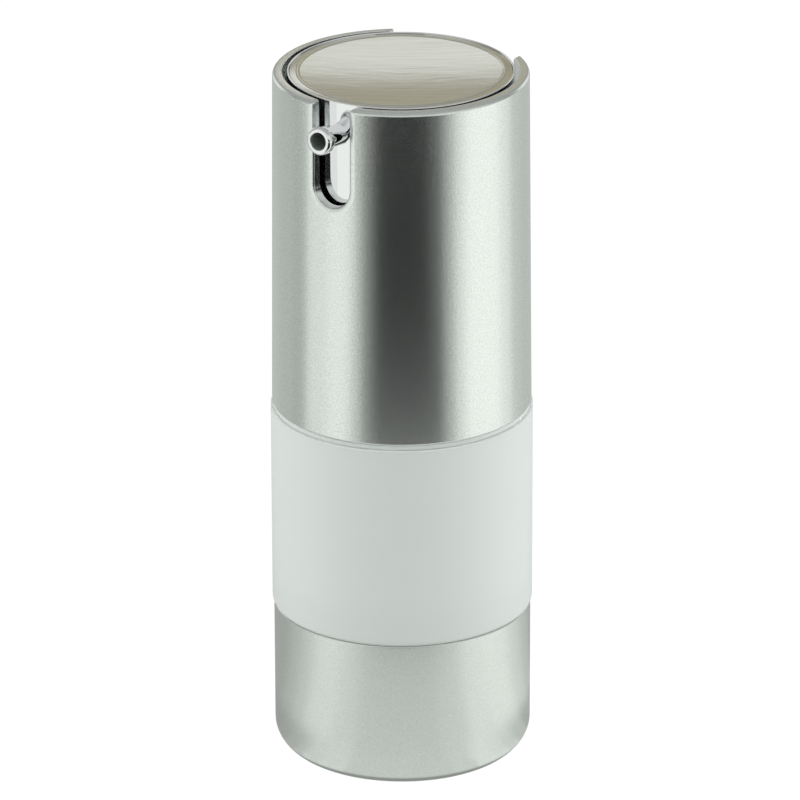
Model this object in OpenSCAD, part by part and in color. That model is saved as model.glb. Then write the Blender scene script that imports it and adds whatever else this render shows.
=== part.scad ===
// Airless pump bottle of the 30 ml class. A silver sleeve with a nozzle slot turns on the
// bottle, a chromed button slides down inside it, and a frosted jacket holds the inner cup.
// Millimetres, +Z up. The origin is the centre of the resting face, the nozzle points
// to -Y and the finger notch in the rim is on the +Y side.

/* [Outside] */
// Height of the sleeve's rim above the resting face
rim_z = 100; // [99:0.5:104]
// Height of the sleeve's lower edge
sleeve_low_z = 51.9; // [51.4:0.1:52.4]
// Height of the joint between frosted jacket and base cup
seam_z = 21.9; // [18:0.1:26]
// Outer radius of the sleeve at its rim
sleeve_top_r = 17.55; // [17.4:0.05:17.8]
// Outer radius of the sleeve at its lower edge
sleeve_low_r = 18; // [17.9:0.05:18.3]
// Outer radius of the frosted jacket
jacket_r = 18.2; // [18.1:0.05:18.5]
// Outer radius of the base cup
base_r = 17.96; // [17.8:0.02:18.1]
// Radius of the rounding around the base
base_round_r = 3.6; // [2:0.1:4]

/* [Slot and notch] */
// Width of the nozzle slot
slot_w = 5.7; // [5:0.1:7]
// Depth of the nozzle slot below the rim
slot_depth = 14.6; // [12:0.1:16]
// Width of the finger notch
notch_w = 20.6; // [16:0.2:24]
// Depth of the finger notch below the rim
notch_depth = 12; // [8:0.5:15]
// Radius of the notch's lower corners
notch_corner_r = 5; // [3:0.5:7]
// Radius of the flare where slot and notch meet the rim
flare_r = 0.5; // [0.2:0.1:1]

/* [Button] */
// Outer radius of the chromed button cup
button_r = 15.55; // [15.4:0.05:15.65]
// Length of the button cup's skirt below the rim
skirt_l = 17; // [15.5:0.5:17.5]
// Radius of the brushed disc
disc_r = 15.25; // [15.1:0.05:15.3]
// Radius of the bead pressed around the disc
bead_r = 14.1; // [13.5:0.1:14.4]

/* [Nozzle] */
// Height of the nozzle's tip below the rim
nozzle_drop = 4.1; // [4:0.1:4.6]
// Upward tilt of the nozzle in degrees
nozzle_tilt = 6; // [5:0.5:8]
// Outer radius of the nozzle's tube
nozzle_r = 1.5; // [1.3:0.05:1.6]
// Outer radius of the flange at the nozzle's tip
tip_r = 1.95; // [1.8:0.05:2.2]
// Distance of the nozzle's tip from the bottle's axis
tip_reach = 20.5; // [19.5:0.1:22]
// Radius of the outlet hole in the nozzle's tip
outlet_r = 1.2; // [0.9:0.05:1.3]

/* [Bottle] */
// Inner radius of the cup that holds the product
cup_bore_r = 14.4; // [14:0.1:14.5]
// Wall of that cup
cup_wall = 0.9; // [0.7:0.05:0.9]
// Height of the follower piston
follower_h = 7; // [6:0.5:10]

/* [Pump] */
// Travel of the button
stroke = 6; // [4:0.5:6]
// Bore radius of the pump chamber
chamber_r = 4.6; // [4.4:0.1:4.8]
// Outer radius of the stem
stem_r = 2.4; // [2.2:0.1:2.6]
// Radius of the inlet ball
ball_r = 1.5; // [1.4:0.05:1.6]
// Turns of the return spring
spring_turns = 5; // [4:1:6]
// Wire diameter of the return spring
wire_d = 0.8; // [0.6:0.05:0.9]

/* [Hidden] */

$fn = 96;
eps = 0.01;

// Clearances: turning and sliding fits, and the visible gap around the button
fit = 0.06;
button_gap = 0.6;
shadow_gap = 0.65;

// Shell thicknesses and the glue film under the disc
jacket_wall = 1.3;
base_wall = 1.5;
button_wall = 1;
plate_wall = 0.85;
glue = 0.04;

// Heights on the bottle, from the sleeve's lower edge
shoulder_z = sleeve_low_z - shadow_gap;
spigot_top_z = sleeve_low_z + 5.1;
ledge_z = spigot_top_z - 1.4;
cup_roof_z = ledge_z - 1.1;
neck_top_z = spigot_top_z + 9;
flange_z = neck_top_z + 1;
flange_top_z = flange_z + 1.4;
closure_top_z = flange_top_z + 1.2;

// Heights in the pump
floor_z = spigot_top_z - 1.8;
seat_z = floor_z + 0.8;
chamber_floor_z = floor_z + 2;
well_top_z = floor_z + 4.9;
plunger_z = well_top_z + stroke + 0.7;
stem_low_z = plunger_z + 1.2;
guide_z = floor_z + 20;
guide_top_z = guide_z + 3;
spring_low_z = guide_top_z + 1.2;

// Heights in the button, from the rim
nozzle_z = rim_z - nozzle_drop;
channel_z = rim_z - 5.25;
plate_z = rim_z - 1.7;
skirt_low_z = rim_z - skirt_l;
spring_top_z = rim_z - 8.2;
socket_low_z = spring_low_z + stroke + 0.4;

// Radii on the bottle
jacket_in_r = jacket_r - jacket_wall;
spigot_r = jacket_r - 1.8;
cup_r = cup_bore_r + cup_wall;
neck_r = 12.4;
neck_bore_r = 11.2;
closure_waist_r = 14.15;
closure_band_r = 14.74;

// Radii in the sleeve
sleeve_in_r = button_r + button_gap;
liner_in_r = closure_band_r + fit;
liner_bead_r = closure_waist_r + 0.3;
groove_z = spigot_top_z + 17;

// Radii and heights of the smaller features
housing_r = chamber_r + 1.2;
tower_r = chamber_r + 2.2;
guide_r = chamber_r + 1.1;
stem_bore_r = stem_r - 1.1;
socket_r = stem_r + 1.1;
spring_r = socket_r + 0.5 + wire_d / 2;
core_r = button_r - button_wall - 0.05;
seat_r = ball_r * 0.63;
well_r = ball_r + 0.25;
channel_r = 0.8;
outlet_l = 3;
seat_body_r = well_r + 0.95;
nozzle_l = (nozzle_z - channel_z) / sin(nozzle_tilt);
tail_reach = tip_reach - nozzle_l * cos(nozzle_tilt);
cup_low_z = 4.4;
plug_flange_z = 3.2;
plug_ring_z = 7;
follower_low_z = plug_ring_z + 0.2;
floor_top_z = 2.4;
vent_y = 6;

// Closed shape of revolution from [radius, height] points
module turned(points)
{
    rotate_extrude() polygon(points);
}

// Plain ring between two radii and two heights
module ring(outer, inner, low, high)
{
    difference()
    {
        translate([0, 0, low]) cylinder(r = outer, h = high - low);
        translate([0, 0, low - 1]) cylinder(r = inner, h = high - low + 2);
    }
}

// Solid round column between two heights
module column(r, low, high)
{
    translate([0, 0, low]) cylinder(r = r, h = high - low);
}

// Round bar along -Y at one height, out to a distance from the bottle's axis
module level_bar(r, to, z)
{
    translate([0, 0, z]) rotate([90, 0, 0]) cylinder(r = r, h = to, $fn = 64);
}

// Places something on the nozzle's axis: +Z runs outwards and 0 is the nozzle's tip
module on_nozzle_axis()
{
    translate([0, -tip_reach, nozzle_z]) rotate([90 - nozzle_tilt, 0, 0]) children();
}

// Round bar on that axis, from one distance to another behind the tip
module tilted_bar(r, from, to)
{
    on_nozzle_axis() translate([0, 0, -to]) cylinder(r = r, h = to - from, $fn = 64);
}

// Outline of a U-shaped cut that is open at the rim: straight sides, rounded lower
// corners, and a rounded flare where each side meets the rim
module u_outline(width, depth, corner_r)
{
    half = width / 2;
    inner = half - corner_r;
    translate([-half, corner_r - depth]) square([width, depth - corner_r + 2]);
    if (inner > eps) translate([-inner, -depth]) square([2 * inner, corner_r + eps]);
    for (side = [-1, 1])
    {
        translate([side * inner, corner_r - depth]) circle(r = corner_r);
        difference()
        {
            translate([side * (half + flare_r / 2), 1 - flare_r / 2])
                square([flare_r + 2 * eps, 2 + flare_r], center = true);
            translate([side * (half + flare_r), -flare_r]) circle(r = flare_r);
        }
    }
}

// Prism of that outline through one side of the sleeve: -1 is the nozzle's side
module rim_cut(side, width, depth, corner_r)
{
    reach = 10;
    translate([0, side * (sleeve_in_r - reach / 2 + 2), rim_z]) rotate([90, 0, 0])
        translate([0, 0, -reach / 2]) linear_extrude(height = reach)
            u_outline(width, depth, corner_r);
}

// Silver cup that forms the foot, with a spigot up inside the frosted jacket, a seat ring
// under the plug and a vent for the air behind the follower piston
module base_cup()
{
    inner = base_r - base_wall;
    fillet = 1.8;
    edge = 0.25;
    spigot_l = 4.6;
    color([0.74, 0.75, 0.74]) difference()
    {
        union()
        {
            rotate_extrude() difference()
            {
                union()
                {
                    translate([0, 0]) square([base_r - base_round_r, seam_z]);
                    translate([0, base_round_r]) square([base_r, seam_z - base_round_r - edge]);
                    translate([0, base_round_r]) square([base_r - edge, seam_z - base_round_r]);
                    translate([base_r - base_round_r, base_round_r]) circle(r = base_round_r);
                    translate([base_r - edge, seam_z - edge]) circle(r = edge);
                }
                translate([-base_r, -1]) square([base_r, seam_z + 2]);
                translate([0, floor_top_z + fillet]) square([inner, seam_z]);
                translate([0, floor_top_z]) square([inner - fillet, seam_z]);
                translate([inner - fillet, floor_top_z + fillet]) circle(r = fillet);
            }
            ring(jacket_in_r, jacket_in_r - 0.9, seam_z - 2, seam_z + spigot_l);
            ring(11, 10, floor_top_z - eps, plug_flange_z);
        }
        translate([0, vent_y, -1]) cylinder(r = 0.8, h = floor_top_z + 2, $fn = 32);
    }
}

// Translucent outer shell: plain tube, stepped shoulder that leaves the shadow gap under
// the sleeve, and an inner ledge that the inner cup and the closure ring clamp
module frosted_jacket()
{
    edge = 0.3;
    step_r = jacket_r - 0.7;
    bore_r = cup_r + 0.1;
    color([0.83, 0.86, 0.84, 0.8]) rotate_extrude() difference()
    {
        union()
        {
            translate([0, seam_z + edge]) square([jacket_r, shoulder_z - seam_z - 2 * edge]);
            translate([0, seam_z]) square([jacket_r - edge, shoulder_z - seam_z]);
            translate([jacket_r - edge, seam_z + edge]) circle(r = edge);
            translate([jacket_r - edge, shoulder_z - edge]) circle(r = edge);
            translate([0, shoulder_z - eps]) square([step_r, shadow_gap - 0.05 + eps]);
            translate([0, shoulder_z]) square([spigot_r, spigot_top_z - shoulder_z]);
        }
        translate([-jacket_r, 0]) square([jacket_r, rim_z]);
        polygon([[0, seam_z - 1], [jacket_in_r, seam_z - 1], [jacket_in_r, shoulder_z - 1.5],
                 [bore_r, shoulder_z + 0.3], [bore_r, ledge_z], [neck_r + 0.4, ledge_z],
                 [neck_r + 0.4, rim_z], [0, rim_z]]);
    }
}

// White cup that holds the product, with a flat shoulder and a neck with a snap bead
module inner_cup()
{
    bead_z = spigot_top_z + 2;
    color([0.95, 0.95, 0.94]) turned([
        [cup_bore_r, cup_low_z], [cup_r, cup_low_z], [cup_r, ledge_z], [neck_r, ledge_z],
        [neck_r, bead_z - 0.3], [neck_r + 0.35, bead_z], [neck_r + 0.35, bead_z + 0.5],
        [neck_r, bead_z + 1.2], [neck_r, neck_top_z], [neck_bore_r, neck_top_z],
        [neck_bore_r, cup_roof_z], [cup_bore_r, cup_roof_z]]);
}

// Plug that closes the inner cup from below and vents the space behind the piston
module inner_plug()
{
    color([0.93, 0.93, 0.92]) difference()
    {
        union()
        {
            column(cup_r, plug_flange_z, cup_low_z);
            ring(cup_bore_r, cup_bore_r - 1, cup_low_z - eps, plug_ring_z);
            ring(4, 3, cup_low_z - eps, plug_ring_z - 0.8);
        }
        column(1, 0, plug_ring_z);
    }
}

// Follower piston with a lower and an upper lip, a waist between them and a
// dished plate that rises with the product's level
module follower_piston()
{
    lip_r = cup_bore_r - 0.03;
    waist_r = cup_bore_r - 0.6;
    low = follower_low_z;
    high = low + follower_h;
    color([0.97, 0.97, 0.96]) difference()
    {
        union()
        {
            turned([[waist_r - 1, low], [lip_r, low], [lip_r, low + 0.8], [waist_r, low + 1.8],
                    [waist_r, high - 2], [lip_r, high - 0.8], [lip_r, high],
                    [lip_r - 0.5, high], [waist_r - 1, high - 1.8]]);
            turned([[0, high - 3.4], [4, high - 3.4], [waist_r - 1 + eps, high - 2.8],
                    [waist_r - 1 + eps, high - 1.8], [4, high - 2.4], [0, high - 2.4]]);
            ring(6, 5.2, low + 1, high - 2.9);
            for (turn = [0 : 60 : 300]) rotate(turn)
                translate([5.6, -0.4, low + 1.6]) cube([waist_r - 6.2, 0.8, high - 4.6 - low]);
        }
        column(4.2, 0, low + 1);
    }
}

// Snap-on ring that clamps the pump to the neck and carries the turning sleeve
module closure_ring()
{
    bead_z = spigot_top_z + 2;
    bore_r = neck_r + 0.05;
    band_low = spigot_top_z + 5.5;
    band_high = spigot_top_z + 9.5;
    color([0.92, 0.92, 0.91]) difference()
    {
        turned([
            [bore_r, spigot_top_z], [closure_waist_r, spigot_top_z], [closure_waist_r, band_low],
            [closure_band_r, band_low], [closure_band_r, band_high],
            [closure_waist_r, band_high + 0.6], [closure_waist_r, closure_top_z - 0.5],
            [closure_waist_r - 0.5, closure_top_z], [tower_r + 1, closure_top_z],
            [tower_r + 1, flange_top_z], [bore_r, flange_top_z], [bore_r, bead_z + 1.3],
            [bore_r + 0.35, bead_z + 0.6], [bore_r + 0.35, bead_z - 0.1], [bore_r, bead_z - 0.4]]);
        for (turn = [45 : 90 : 315]) rotate(turn)
            translate([closure_waist_r - 0.5, -1.5, closure_top_z - 1.2]) cube([2, 3, 2]);
    }
}

// Soft flat ring between the neck and the pump's flange
module neck_gasket()
{
    color([0.86, 0.87, 0.86]) ring(neck_r - 0.05, neck_bore_r - 2, neck_top_z, flange_z);
}

// Pump chamber with clamping flange, a floor that takes the inlet seat, and a tower that
// takes the stem guide
module pump_housing()
{
    color([0.9, 0.92, 0.93]) difference()
    {
        union()
        {
            column(housing_r, floor_z, flange_z + eps);
            column(neck_r - 0.05, flange_z, flange_top_z);
            column(tower_r, flange_top_z - eps, guide_top_z);
        }
        column(chamber_r, chamber_floor_z, guide_z + eps);
        column(guide_r, guide_z, rim_z);
        column(seat_body_r, 0, chamber_floor_z + eps);
    }
}

// Insert in the chamber's floor: a flange and a funnel below, and the seat of the ball
module inlet_seat()
{
    flange_r = seat_body_r + 1;
    flange_h = 0.7;
    funnel_h = 0.8;
    color([0.88, 0.9, 0.91]) difference()
    {
        union()
        {
            column(flange_r, floor_z - flange_h, floor_z);
            column(seat_body_r, floor_z - eps, seat_z);
        }
        column(seat_r, 0, seat_z + eps);
        translate([0, 0, floor_z - flange_h - eps])
            cylinder(r1 = seat_r + funnel_h, r2 = seat_r, h = funnel_h);
    }
}

// Cage that stands on the seat: a well around the ball, with a roof that keeps the ball
// in and three slots that let the product past
module ball_cage()
{
    roof = 0.4;
    slot = 1.2;
    slot_z = well_top_z - 1.6;
    color([0.9, 0.91, 0.9]) difference()
    {
        column(seat_body_r, seat_z, well_top_z);
        column(well_r, seat_z - eps, well_top_z - roof);
        column(ball_r * 0.77, seat_z, well_top_z + 1);
        for (turn = [0, 120, 240]) rotate(turn)
            translate([0, -slot / 2, slot_z]) cube([well_r + 2, slot, well_top_z]);
    }
}

// Ball that rests on the inlet seat and lifts as the pump draws
module inlet_ball()
{
    rest_z = seat_z + sqrt(pow(ball_r, 2) - pow(seat_r, 2)) + 0.02;
    color([0.8, 0.81, 0.82]) translate([0, 0, rest_z]) sphere(r = ball_r);
}

// Double-lipped piston that rides loosely on the stem and opens the outlet ports
module pump_piston()
{
    low = stem_low_z + 0.05;
    high = low + 6;
    lip_r = chamber_r - 0.03;
    bore_r = stem_r + fit;
    color([0.95, 0.94, 0.9]) turned([
        [bore_r, low], [bore_r + 0.7, low], [bore_r + 0.7, low + 2.2], [lip_r - 0.5, low + 1],
        [lip_r, low + 1], [lip_r, low + 1.6], [bore_r + 1.1, low + 3], [bore_r + 1.1, high - 1.8],
        [lip_r, high - 0.6], [lip_r, high], [lip_r - 0.5, high], [bore_r + 0.8, high - 1.2],
        [bore_r, high - 1.2]]);
}

// Plug pressed into the stem, whose head seals the piston's underside at rest
module stem_plunger()
{
    color([0.88, 0.88, 0.87]) union()
    {
        turned([[0, plunger_z], [stem_r + 0.3, plunger_z], [stem_r + 1, plunger_z + 0.7],
                [stem_r + 1, stem_low_z], [0, stem_low_z]]);
        column(stem_bore_r, stem_low_z - eps, stem_low_z + 1.2);
    }
}

// Hollow stem from the piston up to the button, with cross ports at its lower end
module stem()
{
    port_w = 0.9;
    color([0.92, 0.93, 0.93]) difference()
    {
        ring(stem_r, stem_bore_r, stem_low_z, spring_top_z + 0.6);
        for (turn = [0, 90]) rotate(turn)
            translate([-5, -port_w / 2, stem_low_z + 1.4]) cube([10, port_w, 1.4]);
    }
}

// Bush in the tower that guides the stem and seats the spring
module stem_guide()
{
    color([0.93, 0.93, 0.92]) difference()
    {
        union()
        {
            column(guide_r, guide_z, guide_top_z + eps);
            column(tower_r, guide_top_z, spring_low_z);
            ring(tower_r, tower_r - 0.9, spring_low_z - eps, spring_low_z + 1);
        }
        column(stem_r + fit, 0, rim_z);
        for (turn = [0, 120, 240]) rotate(turn)
            translate([stem_r + 1.4, 0, 0]) cylinder(r = 0.5, h = rim_z, $fn = 24);
    }
}

// Point on the wire's surface: turn of the coil, and angle around the wire
function coil_angle(share) = 360 * spring_turns * share;
function coil_z(share) = let (free = spring_top_z - spring_low_z - wire_d, dead = 0.1)
    spring_low_z + wire_d / 2 + free * min(1, max(0, (share - dead) / (1 - 2 * dead)));
function wire_point(share, around) = let (r = spring_r + wire_d / 2 * cos(around))
    [r * cos(coil_angle(share)), r * sin(coil_angle(share)),
     coil_z(share) + wire_d / 2 * sin(around)];

// Steel coil around the stem, outside the product's path
module return_spring()
{
    sides = 8;
    steps = spring_turns * 24;
    points = [for (i = [0 : steps]) for (k = [0 : sides - 1])
        wire_point(i / steps, k * 360 / sides)];
    walls = [for (i = [0 : steps - 1]) for (k = [0 : sides - 1])
        let (next = (k + 1) % sides)
        [i * sides + k, i * sides + next, (i + 1) * sides + next, (i + 1) * sides + k]];
    low_cap = [for (k = [sides - 1 : -1 : 0]) k];
    high_cap = [for (k = [0 : sides - 1]) steps * sides + k];
    color([0.72, 0.73, 0.75]) polyhedron(points = points, faces = concat(walls, [low_cap, high_cap]));
}

// Inner ring that carries the sleeve and snaps under the closure's band to turn on it
module liner_ring()
{
    low = spigot_top_z + 0.05;
    bead_low = spigot_top_z + 3.6;
    bead_high = spigot_top_z + 5.3;
    high = spigot_top_z + 19;
    color([0.9, 0.9, 0.89]) turned([
        [liner_in_r, low], [sleeve_in_r, low], [sleeve_in_r, groove_z],
        [sleeve_in_r + 0.2, groove_z + 0.3], [sleeve_in_r + 0.2, groove_z + 0.7],
        [sleeve_in_r, groove_z + 1], [sleeve_in_r, high], [liner_in_r, high],
        [liner_in_r, bead_high], [liner_bead_r, bead_high], [liner_bead_r, bead_low + 0.8],
        [liner_in_r, bead_low]]);
}

// Silver-painted sleeve: slight draft, softly rounded rim, nozzle slot and finger notch
module outer_sleeve()
{
    round_r = 0.45;
    mouth_r = sleeve_low_r - 1.3;
    step_z = spigot_top_z + 0.5;
    foot_r = 0.15;
    color([0.76, 0.78, 0.77]) difference()
    {
        rotate_extrude() difference()
        {
            union()
            {
                polygon([[0, sleeve_low_z + foot_r], [sleeve_low_r, sleeve_low_z + foot_r],
                         [sleeve_top_r, rim_z - round_r], [sleeve_top_r - round_r, rim_z],
                         [0, rim_z]]);
                translate([0, sleeve_low_z]) square([sleeve_low_r - foot_r, 1]);
                translate([sleeve_low_r - foot_r, sleeve_low_z + foot_r]) circle(r = foot_r);
                translate([sleeve_top_r - round_r, rim_z - round_r]) circle(r = round_r);
            }
            translate([-sleeve_low_r, 0]) square([sleeve_low_r, rim_z + 1]);
            polygon([[0, 0], [mouth_r, 0], [mouth_r, step_z], [sleeve_in_r, step_z],
                     [sleeve_in_r, groove_z], [sleeve_in_r + 0.2, groove_z + 0.3],
                     [sleeve_in_r + 0.2, groove_z + 0.7], [sleeve_in_r, groove_z + 1],
                     [sleeve_in_r, rim_z + 1], [0, rim_z + 1]]);
        }
        rim_cut(-1, slot_w, slot_depth, slot_w / 2);
        rim_cut(1, notch_w, notch_depth, notch_corner_r);
    }
}

// White core that joins stem, nozzle and button cup, with the product's channel
module button_core()
{
    web_z = spring_top_z + 1.4;
    color([0.94, 0.94, 0.93]) difference()
    {
        union()
        {
            column(socket_r, socket_low_z, web_z);
            column(spring_r + 1.2, spring_top_z, web_z);
            column(socket_r, web_z - eps, plate_z);
            column(core_r, plate_z - 1.2, plate_z);
            ring(core_r, core_r - 1, plate_z - 6.5, plate_z - 1);
            level_bar(channel_z - spring_top_z, tail_reach + 1, channel_z);
            tilted_bar(nozzle_r + 0.9, (tip_reach - core_r + 0.6) / cos(nozzle_tilt), nozzle_l + 1);
            for (turn = [30 : 60 : 330]) rotate(turn)
                translate([socket_r - 0.5, -0.5, web_z - eps])
                    cube([core_r - socket_r - 0.2, 1, plate_z - web_z - 1]);
        }
        column(stem_r, 0, spring_top_z + 0.6);
        column(stem_bore_r, 0, channel_z);
        level_bar(channel_r, tail_reach + 0.5, channel_z);
        tilted_bar(nozzle_r, 0, nozzle_l);
    }
}

// Mirror-chromed cup whose long skirt closes the slot from behind as it slides
module button_cup()
{
    inner = button_r - button_wall;
    lip_round = (button_r - disc_r - 0.02) / 2;
    color([0.86, 0.87, 0.88]) difference()
    {
        rotate_extrude()
        {
            translate([inner, skirt_low_z]) square([button_wall, plate_z - skirt_low_z + eps]);
            translate([0, plate_z]) square([button_r, plate_wall]);
            translate([button_r - 2 * lip_round, plate_z])
                square([2 * lip_round, rim_z - lip_round - plate_z]);
            translate([button_r - lip_round, rim_z - lip_round]) circle(r = lip_round);
        }
        tilted_bar(nozzle_r + 0.05, 0, nozzle_l - 1);
    }
}

// Brushed disc set into the button: a flat border, a rounded bead pressed inside it and a
// slightly dished middle
module brushed_disc()
{
    low = plate_z + plate_wall + glue;
    top = low + 0.5;
    bead_w = 0.6;
    bead_h = 0.1;
    dish = 0.22;
    steps = 8;
    field_r = bead_r - bead_w / 2;
    bead = [for (i = [0 : steps]) let (share = 1 - 2 * i / steps)
        [bead_r + share * bead_w / 2, top + bead_h * (1 - pow(share, 2))]];
    field = [for (i = [1 : steps]) let (share = 1 - i / steps)
        [field_r * share, top - dish * (1 - pow(share, 2))]];
    color([0.78, 0.77, 0.72]) turned(concat(
        [[0, low], [disc_r, low], [disc_r, top - 0.1], [disc_r - 0.1, top]], bead, field));
}

// Chromed nozzle pressed into the core through the cup: tube, rounded flange and outlet
module nozzle()
{
    tip_l = 1.5;
    edge = 0.45;
    color([0.87, 0.88, 0.89]) on_nozzle_axis() difference()
    {
        rotate_extrude($fn = 64)
        {
            translate([0, -nozzle_l]) square([nozzle_r, nozzle_l - tip_l + eps]);
            translate([0, -tip_l]) square([tip_r - edge, tip_l]);
            translate([0, edge - tip_l]) square([tip_r, tip_l - 2 * edge]);
            translate([tip_r - edge, -edge]) circle(r = edge);
            translate([tip_r - edge, edge - tip_l]) circle(r = edge);
        }
        translate([0, 0, -nozzle_l - 1]) cylinder(r = channel_r, h = nozzle_l, $fn = 48);
        translate([0, 0, -outlet_l]) cylinder(r = outlet_r, h = outlet_l + 1, $fn = 48);
    }
}

base_cup();
frosted_jacket();
inner_cup();
inner_plug();
follower_piston();
closure_ring();
neck_gasket();
pump_housing();
inlet_seat();
ball_cage();
inlet_ball();
pump_piston();
stem_plunger();
stem();
stem_guide();
return_spring();
liner_ring();
outer_sleeve();
button_core();
button_cup();
brushed_disc();
nozzle();
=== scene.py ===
# %% [markdown]
# # An airless pump bottle
#
# The bottle is a stack of turned parts: a silver lacquered sleeve, a frosted jacket and a
# silver base cup, with a chromed button and a brushed disc inside the sleeve's open top.
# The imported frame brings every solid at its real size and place. This lesson remakes the
# six parts that are seen and the spring with finer edges, and gives each part its finish.

# %% Load the frame
import math

import bpy
from mathutils import Matrix, Vector


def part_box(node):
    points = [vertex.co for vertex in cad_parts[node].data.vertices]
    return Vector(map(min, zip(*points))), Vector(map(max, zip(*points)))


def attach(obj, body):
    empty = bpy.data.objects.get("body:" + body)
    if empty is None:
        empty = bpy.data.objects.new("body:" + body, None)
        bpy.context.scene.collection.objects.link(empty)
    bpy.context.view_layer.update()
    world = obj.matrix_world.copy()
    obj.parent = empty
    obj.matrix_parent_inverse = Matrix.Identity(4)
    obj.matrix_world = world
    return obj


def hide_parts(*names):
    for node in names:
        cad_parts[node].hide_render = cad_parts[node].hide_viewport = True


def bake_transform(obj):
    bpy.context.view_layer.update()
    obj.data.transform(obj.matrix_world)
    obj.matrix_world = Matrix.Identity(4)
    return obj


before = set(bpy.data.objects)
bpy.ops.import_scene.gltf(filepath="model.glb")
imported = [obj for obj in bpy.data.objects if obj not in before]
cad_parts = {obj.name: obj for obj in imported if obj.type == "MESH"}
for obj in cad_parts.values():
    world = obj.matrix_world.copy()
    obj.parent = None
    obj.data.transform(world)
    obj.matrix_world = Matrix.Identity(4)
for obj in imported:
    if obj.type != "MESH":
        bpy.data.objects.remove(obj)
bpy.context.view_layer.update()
print("solids in the frame:", len(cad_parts))

# %% [markdown]
# Every size below is in metres, as Blender keeps it. A small function turns millimetres
# into metres, so that the sizes read as a maker would say them. The main radii and heights
# are measured on the frame, which keeps the remade parts exactly where the solids are.

# %% Measure the bottle


def mm(millimetres):
    return millimetres / 1000


def height_span(node):
    low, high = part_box(node)
    return low[2], high[2]


def outer_radius(node):
    low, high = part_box(node)
    return (high[0] - low[0]) / 2


sleeve_low, rim = height_span("outer_sleeve")
sleeve_low_radius = outer_radius("outer_sleeve")
jacket_low, jacket_high = height_span("frosted_jacket")
jacket_radius = outer_radius("frosted_jacket")
base_spigot_top = height_span("base_cup")[1]
base_radius = outer_radius("base_cup")
skirt_low, button_top = height_span("button_cup")
button_radius = outer_radius("button_cup")
disc_low = height_span("brushed_disc")[0]
disc_radius = outer_radius("brushed_disc")
print("sleeve from", round(sleeve_low, 4), "to", round(rim, 4), "m")

# %% [markdown]
# ## The photographer's camera
#
# The photograph looks down on the bottle from about 22 degrees above the table, with the
# nozzle turned 33 degrees to the left. A long lens a metre away keeps the sides nearly
# parallel. The camera also leans by a sixth of a degree, as the bottle's axis shows. Its
# place and its three directions are worked out as vectors, because a matrix that is built
# from them says more plainly than three angles where the camera looks.

# %% Place the camera
PHOTO_BEARING = math.radians(33.0)
CAMERA_DISTANCE = mm(901.36)
CAMERA_HEIGHT = mm(422.19)
CAMERA_SIDESTEP = mm(-0.25)
CAMERA_PITCH = math.radians(22.363)
CAMERA_LEAN = math.radians(0.155)
LENS = 316.2
SENSOR = 36.0

ahead = Vector((-math.sin(PHOTO_BEARING), math.cos(PHOTO_BEARING), 0))
aside = Vector((math.cos(PHOTO_BEARING), math.sin(PHOTO_BEARING), 0))
upward = Vector((0, 0, 1))
sight = ahead * math.cos(CAMERA_PITCH) - upward * math.sin(CAMERA_PITCH)
screen_up = ahead * math.sin(CAMERA_PITCH) + upward * math.cos(CAMERA_PITCH)
leaning_up = screen_up * math.cos(CAMERA_LEAN) + aside * math.sin(CAMERA_LEAN)
leaning_side = aside * math.cos(CAMERA_LEAN) - screen_up * math.sin(CAMERA_LEAN)
camera_spot = aside * CAMERA_SIDESTEP - ahead * CAMERA_DISTANCE + upward * CAMERA_HEIGHT

lens = bpy.data.cameras.new("photo_camera")
lens.lens = LENS
lens.sensor_width = SENSOR
lens.clip_start = mm(10)
camera = bpy.data.objects.new("photo_camera", lens)
facing = Matrix((leaning_side, leaning_up, -sight)).transposed().to_4x4()
camera.matrix_world = Matrix.Translation(camera_spot) @ facing
bpy.context.scene.collection.objects.link(camera)
bpy.context.scene.camera = camera
print("camera at", [round(value, 3) for value in camera_spot])

# %% [markdown]
# ## Shaping tools
#
# Each mesh tool works on what is selected, so a few small helpers pick a part, open it for
# editing and, at the end, merge doubled points and turn every face outwards.

# %% Pick, open and close a mesh
MERGE = mm(0.0002)
SMOOTH_ANGLE = math.radians(35)


def clear_selection():
    if bpy.context.object and bpy.context.object.mode != "OBJECT":
        bpy.ops.object.mode_set(mode="OBJECT")
    bpy.ops.object.select_all(action="DESELECT")


def pick(piece):
    clear_selection()
    piece.select_set(True)
    bpy.context.view_layer.objects.active = piece


def edit(piece):
    pick(piece)
    bpy.ops.object.mode_set(mode="EDIT")
    bpy.ops.mesh.select_all(action="SELECT")


def close_mesh(piece):
    edit(piece)
    bpy.ops.mesh.remove_doubles(threshold=MERGE)
    bpy.ops.mesh.dissolve_degenerate(threshold=MERGE)
    bpy.ops.mesh.select_all(action="SELECT")
    bpy.ops.mesh.delete_loose(use_verts=True, use_edges=True, use_faces=False)
    bpy.ops.mesh.select_all(action="SELECT")
    bpy.ops.mesh.normals_make_consistent(inside=False)
    bpy.ops.object.mode_set(mode="OBJECT")


def smooth(piece):
    pick(piece)
    bpy.ops.object.shade_smooth_by_angle(angle=SMOOTH_ANGLE)


print("points closer than", MERGE, "m are merged")

# %% [markdown]
# Almost every part of this bottle comes off a lathe or out of a round mould, so one tool
# does most of the work: it lays an outline in a plane, rounds the outline's corners with a
# vertex bevel, and spins it around an axis. Rounding the outline first is simpler than
# bevelling the finished part, and it gives each edge its own radius.

# %% Turn an outline
TURN_STEPS = 288
ROUND_STEPS = 10


def upright(radius, along):
    return Vector((radius, 0, along))


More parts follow.
